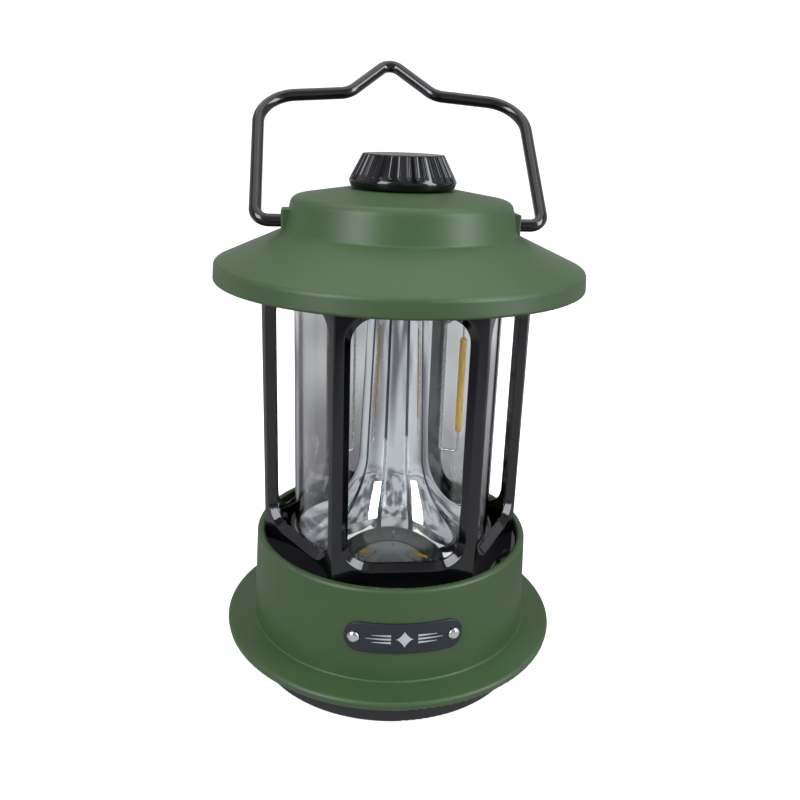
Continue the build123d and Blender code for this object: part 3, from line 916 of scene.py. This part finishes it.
# Bare drawn steel wire: thin bright line on each lead.
drawn_steel = moulded(
    "Steel wire drawn bright",
    ("#bdbcba", "#cfcecc"),
    patch=1.5,
    rough=(0.2, 0.32),
    grain=0.3,
    depth=0.004,
    Metallic=1.0,
)
bead_outline = [(0.0, filament_low)]
bead_count = 156
for k in range(1, bead_count):
    height = filament_low + (filament_high - filament_low) * k / bead_count
    from_end = min(height - filament_low, filament_high - height)
    cap = 1.0 if from_end >= 1.0 else math.sqrt(1 - (1 - from_end) ** 2)
    swell = 0.04 * math.cos(2 * math.pi * (height - filament_low) / chip_pitch)
    bead_outline.append(((filament_radius - 0.05 + swell * cap) * cap, height))
bead_outline.append((0.0, filament_high))
for number, angle in enumerate((-30, 90, 210), start=1):
    spoke = Vector((math.cos(math.radians(angle)), math.sin(math.radians(angle)), 0))
    filament = lathed(f"filament_{number}_phosphor", bead_outline, around=32, sharp=80)
    filament.data.transform(Matrix.Translation(spoke * filament_circle / 1000))
    filament.data.materials.append(phosphor)
    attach(filament, "lantern")
    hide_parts(f"filament_{number}")
    corners = [(21.5, 140), (21.5, 131), (17.5, 128), (17.5, 83), (24, 83.6), (24, 90.5)]
    leads = bent_wire(
        f"filament_leads_{number}_steel",
        [
            ([spoke * 24 + Vector((0, 0, z)) for z in (124.3, 132.0, 140.0)], [0.2]),
            ([spoke * r + Vector((0, 0, z)) for r, z in corners], [1.2, 1.2, 0.9, 0.9]),
        ],
        0.4,
        drawn_steel,
        per_bend=8,
        round_points=12,
    )
    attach(leads, "lantern")
    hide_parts(f"filament_leads_{number}")

# ---- Lamp board and roof liner ----
# A white-masked aluminium board holds the filaments; a matt black disc closes the roof above it.
white_mask = moulded(
    "Aluminium board white solder mask",
    ("#d9d9d4", "#e6e6e2"),
    patch=6,
    rough=(0.35, 0.5),
    grain=0.8,
    depth=0.01,
    IOR=1.5,
)
cad["lamp_board"].material_slots[0].material = white_mask
cad["roof_liner"].material_slots[0].material = matt_black

# ---- Screws ----
# Self-tapping pan-head screws with a cross recess, zinc plated steel: grey, faintly patchy sheen.
zinc = moulded(
    "Steel screw zinc plated",
    ("#a3a5a8", "#bcbec1"),
    patch=1.5,
    rough=(0.25, 0.4),
    grain=0.4,
    depth=0.006,
    Metallic=1.0,
)


def screw(name, circle, head_end, seat, tip, head, shank):
    """A screw standing on the circle: its head between head_end and seat, its thread from seat to tip."""
    up = 1 if tip > seat else -1
    tall = abs(seat - head_end)
    outline = [(head * 0.72, head_end), (head * 0.93, head_end + up * tall * 0.22)]
    outline += [(head, head_end + up * tall * 0.6), (head, seat)]
    pitch, depth = 0.9, 0.16 * shank
    turns = int((abs(tip - seat) - 1.2) / pitch)
    for k in range(turns):
        base = seat + up * pitch * k
        outline += [(shank - depth, base), (shank - depth, base + up * pitch * 0.45)]
        outline += [(shank, base + up * pitch * 0.62), (shank, base + up * pitch * 0.78)]
    outline += [(shank - depth, seat + up * pitch * turns), (0.25, tip)]
    around = 24
    vertices, faces = [], []
    for r, z in outline:
        for k in range(around):
            a = 2 * math.pi * k / around
            vertices.append((circle + r * math.cos(a), r * math.sin(a), z))
    for i in range(len(outline) - 1):
        for k in range(around):
            m = (k + 1) % around
            faces.append((i * around + k, i * around + m, (i + 1) * around + m, (i + 1) * around + k))
    faces.append(tuple(range((len(outline) - 1) * around, len(outline) * around)))
    # cross recess: arms of half-width w, reaching to r, sunk into the head
    w, r, sunk = head * 0.12, head * 0.5, head_end + up * tall * 0.62
    cross = []
    for k in range(4):
        a = math.pi / 2 * k
        for x, y in ((r, -w), (r, w), (w, w)):
            cross.append((x * math.cos(a) - y * math.sin(a), x * math.sin(a) + y * math.cos(a)))
    rim = len(vertices)
    vertices += [(circle + x, y, head_end) for x, y in cross]
    vertices += [(circle + x * 0.7, y * 0.7, sunk) for x, y in cross]
    for k in range(12):
        m = (k + 1) % 12
        faces.append((rim + k, rim + m, rim + 12 + m, rim + 12 + k))
    faces.append(tuple(rim + 12 + k for k in range(12)))
    # flat of the head between the cross and the rounded edge: six edge points to each arm
    for k in range(4):
        first = 6 * k
        arm = rim + 3 * k
        nearest = rim + (3 * k + 3) % 12
        edge = [(first + j) % around for j in range(-1, 6)]
        faces += [
            (arm, arm + 1, edge[2], edge[1], edge[0]),
            (arm + 1, arm + 2, edge[4], edge[3], edge[2]),
            (arm + 2, nearest, edge[6], edge[5], edge[4]),
        ]
    return piece_from(name, vertices, faces, sharp=30)


for node, count, start, circle, head_end, seat, tip, head, shank in (
    ("base_screws", 4, 45, 42.0, 2.7, 4.5, 18.0, 2.9, 1.45),
    ("deck_screws", 3, 0, 40.8, 40.9, 42.4, 46.8, 2.2, 1.2),
    ("cage_screws", 3, 60, 40.8, 43.0, 44.6, 53.2, 2.2, 1.25),
    ("lamp_board_screws", 3, 30, 28.0, 138.6, 140.0, 146.0, 2.2, 1.2),
    ("roof_screws", 3, 30, 51.5, 140.2, 141.6, 148.5, 2.6, 1.45),
    ("liner_screws", 3, 0, 40.8, 145.2, 143.6, 138.2, 2.2, 1.25),
):
    screws = screw(f"{node}_zinc", circle, head_end, seat, tip, head, shank)
    repeated(screws, count, start, 360 / count, zinc, sharp=30)
    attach(screws, "lantern")
    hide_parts(node)
cad["board_screws"].material_slots[0].material = zinc

# ---- Roof ----
# Brim, cone, drum and two handle ears in one moulding of the same satin green ABS as the base.
cad["roof"].material_slots[0].material = green

# ---- Knob ----
# Gloss black ABS pushed on the dimmer's shaft: a cone with 36 rounded flutes that run out at the top.
knob_points = [
    (0, 180.2, 0),
    (3.02, 180.2, 0),
    (3.02, 175.2, 0),
    (5.2, 175.2, 0),
    (5.2, 179.6, 0),
    (11.8, 179.6, 0.6),
    (14.7, 175.0, 0.6),
    (15.3, 171.3, 0),
    (16.8, 171.3, 0.9),
    (17.7, 173.6, 1.3),
    (13.2, 182.0, 0.6),
    (0, 182.0, 0),
]
flutes, flute_width, flute_depth, flute_low = 36, 1.38, 0.45, 175.6
knob_outline = rounded(knob_points, closed=False, steps=8)
fine = []
for (r0, z0), (r1, z1) in zip(knob_outline, knob_outline[1:]):
    fine.append((r0, z0))
    if min(r0, r1) > 13 and z0 > 173.4 and z1 > z0 and z1 - z0 > 0.5:
        rows = int((z1 - z0) / 0.12)
        fine += [(r0 + (r1 - r0) * k / rows, z0 + (z1 - z0) * k / rows) for k in range(1, rows)]
fine.append(knob_outline[-1])
across = [-1, -0.8, -0.6, -0.4, -0.2, 0, 0.2, 0.4, 0.6, 0.8, 1]
half_sector = math.pi / flutes
vertices, faces = [], []
columns = len(across) + 6
for r, z in fine:
    groove = flute_width / 2 / max(r, 13.0)
    angles = [-half_sector, -(half_sector * 0.55 + groove * 0.45), -groove * 1.12]
    angles += [groove * s for s in across]
    angles += [groove * 1.12, half_sector * 0.55 + groove * 0.45, half_sector]
    outer = r > 12.4 and z > 171.4 and (z > 173 or r > 16)
    for a in angles:
        side = a * r / (flute_width / 2)
        below = max(0.0, flute_low - z) / (flute_width / 2)
        reach = side**2 + below**2
        sunk = flute_depth * (1 - reach) if outer and reach < 1 else 0.0
        vertices.append(((r - sunk) * math.cos(a), (r - sunk) * math.sin(a), z))
for i in range(len(fine) - 1):
    for k in range(columns - 1):
        faces.append(
            (i * columns + k, i * columns + k + 1, (i + 1) * columns + k + 1, (i + 1) * columns + k)
        )
knob = piece_from("knob_gloss_abs", vertices, faces, sharp=58)
repeated(knob, flutes, 0, 360 / flutes, gloss_black, sharp=58)
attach(knob, "knob")
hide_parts("knob")

# ---- Handle ----
# Steel wire bent to a bail with a peak in the middle for a hook, powder coated gloss black.
# Its ends turn inwards through the roof's ears and are held by spring clips.
handle_lean, pivot_height = math.radians(47.5), 160.0
powder_coat = moulded(
    "Steel wire powder coated gloss black",
    ("#0a0b0e", "#0e0f12"),
    patch=10,
    rough=(0.1, 0.18),
    grain=1.6,
    depth=0.012,
    IOR=1.5,
    Coat_Weight=0.4,
    Coat_Roughness=0.06,
)
bail = [(-31, 0), (-48, 0), (-48, 57), (-15.7, 60.6), (0, 77.5), (15.7, 60.6), (48, 57), (48, 0), (31, 0)]
handle = bent_wire(
    "handle_powder_coated",
    [
        (
            [
                (x, v * math.sin(handle_lean), pivot_height + v * math.cos(handle_lean))
                for x, v in bail
            ],
            [4.5, 14.5, 8.5, 4.6, 8.5, 14.5, 4.5],
        )
    ],
    2.09,
    powder_coat,
    per_bend=16,
    round_points=40,
)
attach(handle, "handle")
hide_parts("handle")
cad["handle_clips"].material_slots[0].material = zinc

# ---- Floor ----
# A wide white sweep: a flat floor that curves up all round, well behind the lamp. Only the
# camera sees it; mirrors and the clear tube show the room lining that lies over it.
white_sweep, tree, shader = new_finish(
    "Paper sweep white", Roughness=0.9, Specular_IOR_Level=0.1, Emission_Strength=0.78
)
fibres = add_node(tree, "ShaderNodeTexNoise", {"Scale": 180.0, "Detail": 4.0})
paper = add_node(
    tree,
    "ShaderNodeMix",
    {6: linear("#fbfaf9"), 7: linear("#f5f4f3")},
    {0: fibres.outputs["Fac"]},
    data_type="RGBA",
)
tree.links.new(paper.outputs[2], shader.inputs["Base Color"])
tree.links.new(paper.outputs[2], shader.inputs["Emission Color"])
sweep_profile = [(0.0, 0.0), (300.0, 0.0), (800.0, 0.0)]
sweep_profile += [
    (1100 + 700 * math.sin(math.radians(a)), 700 - 700 * math.cos(math.radians(a)))
    for a in range(0, 91, 5)
]
sweep_profile += [(1800.0, 2200.0)]
vertices, faces = [], []
for r, z in sweep_profile:
    for k in range(96):
        a = 2 * math.pi * k / 96
        vertices.append((r * math.cos(a), r * math.sin(a), z))
for i in range(len(sweep_profile) - 1):
    for k in range(96):
        m = (k + 1) % 96
        faces.append((i * 96 + k, i * 96 + m, (i + 1) * 96 + m, (i + 1) * 96 + k))
floor = piece_from("floor", vertices, faces)
floor.data.materials.append(white_sweep)
floor.visible_glossy = False
floor.visible_diffuse = False
floor.visible_transmission = False

# Room lining: lies just over the sweep and is seen in mirrors and through the clear tube only. Its
# soft light and dark patches stand for a room, which is what chrome and clear plastic show.
room_cloth, tree, shader = new_finish(
    "Cloth lining grey patches", Base_Color=linear("#202020"), Roughness=0.9, Emission_Strength=0.66
)
place = add_node(tree, "ShaderNodeTexCoord").outputs["Object"]
patches = add_node(tree, "ShaderNodeTexNoise", {"Scale": 2.2, "Detail": 1.0}, {"Vector": place})
contrast = add_node(
    tree, "ShaderNodeMapRange", {"From Min": 0.38, "From Max": 0.58}, {"Value": patches.outputs["Fac"]}
)
cloth = add_node(
    tree,
    "ShaderNodeMix",
    {6: linear("#77737a"), 7: linear("#f4f5fa")},
    {0: contrast.outputs["Result"]},
    data_type="RGBA",
)
tree.links.new(cloth.outputs[2], shader.inputs["Emission Color"])
lining = piece_from("room_lining", [(x * 0.99, y * 0.99, z + 0.4) for x, y, z in vertices], faces)
lining.data.materials.append(room_cloth)
lining.visible_camera = False
lining.visible_diffuse = False
lining.visible_shadow = False

# ---- Light ----
# Two tall softboxes in front, left and right, and a broad one overhead, in a room with soft
# light and dark patches that is dimmer from below.
world = bpy.data.worlds.new("studio")
bpy.context.scene.world = world
world.use_nodes = True
direction = add_node(world.node_tree, "ShaderNodeTexCoord").outputs["Generated"]
room = add_node(
    world.node_tree, "ShaderNodeTexNoise", {"Scale": 2.6, "Detail": 1.0}, {"Vector": direction}
)
contrast = add_node(
    world.node_tree,
    "ShaderNodeMapRange",
    {"From Min": 0.4, "From Max": 0.56},
    {"Value": room.outputs["Fac"]},
)
walls = add_node(
    world.node_tree,
    "ShaderNodeMix",
    {6: linear("#4a4a50"), 7: linear("#ffffff")},
    {0: contrast.outputs["Result"]},
    data_type="RGBA",
)
backdrop = world.node_tree.nodes["Background"]
upward = add_node(world.node_tree, "ShaderNodeSeparateXYZ", links={"Vector": direction})
strength = add_node(
    world.node_tree,
    "ShaderNodeMapRange",
    {"From Min": -0.3, "From Max": 0.1, "To Min": 0.12, "To Max": 0.62},
    {"Value": upward.outputs["Z"]},
)
world.node_tree.links.new(strength.outputs["Result"], backdrop.inputs["Strength"])
world.node_tree.links.new(walls.outputs[2], backdrop.inputs["Color"])
aim = Vector((0, 0, 0.1))
for name, position, size, power, colour in (
    ("softbox_left", (-0.62, -0.52, 0.50), (0.34, 0.75), 6.2, "#f4f7ff"),
    ("softbox_right", (0.66, -0.40, 0.45), (0.30, 0.75), 5.6, "#f6fbff"),
    ("softbox_top", (0.0, 0.15, 0.95), (1.1, 0.9), 3.2, "#ffffff"),
):
    light = bpy.data.lights.new(name, "AREA")
    light.shape = "RECTANGLE"
    light.size, light.size_y = size
    light.energy = power
    light.color = linear(colour)[:3]
    lamp = bpy.data.objects.new(name, light)
    lamp.location = position
    lamp.rotation_euler = (aim - Vector(position)).to_track_quat("-Z", "Y").to_euler()
    bpy.context.scene.collection.objects.link(lamp)

# ---- Camera ----
# Close to the lamp, a little above it and left of its front, tilted down and rolled slightly.
view_turn, view_distance, view_height = math.radians(-6.4), 0.2853, 0.1934
pitch, pan, roll = math.radians(18.46), math.radians(0.33), math.radians(2.05)
forward = Vector(
    (math.sin(pan) * math.cos(pitch), math.cos(pan) * math.cos(pitch), -math.sin(pitch))
)
level = forward.cross(Vector((0, 0, 1))).normalized()
upright = level.cross(forward)
right = level * math.cos(roll) + upright * math.sin(roll)
above = upright * math.cos(roll) - level * math.sin(roll)
camera_data = bpy.data.cameras.new("camera")
camera_data.sensor_width = 36.0
camera_data.lens = 38.2
camera_data.clip_start = 0.01
camera = bpy.data.objects.new("camera", camera_data)
turned = Matrix((right, above, -forward)).transposed().to_4x4()
camera.matrix_world = (
    Matrix.Rotation(view_turn, 4, "Z")
    @ Matrix.Translation((0, -view_distance, view_height))
    @ turned
)
bpy.context.scene.collection.objects.link(camera)
bpy.context.scene.camera = camera
bpy.context.scene.view_settings.view_transform = "Standard"
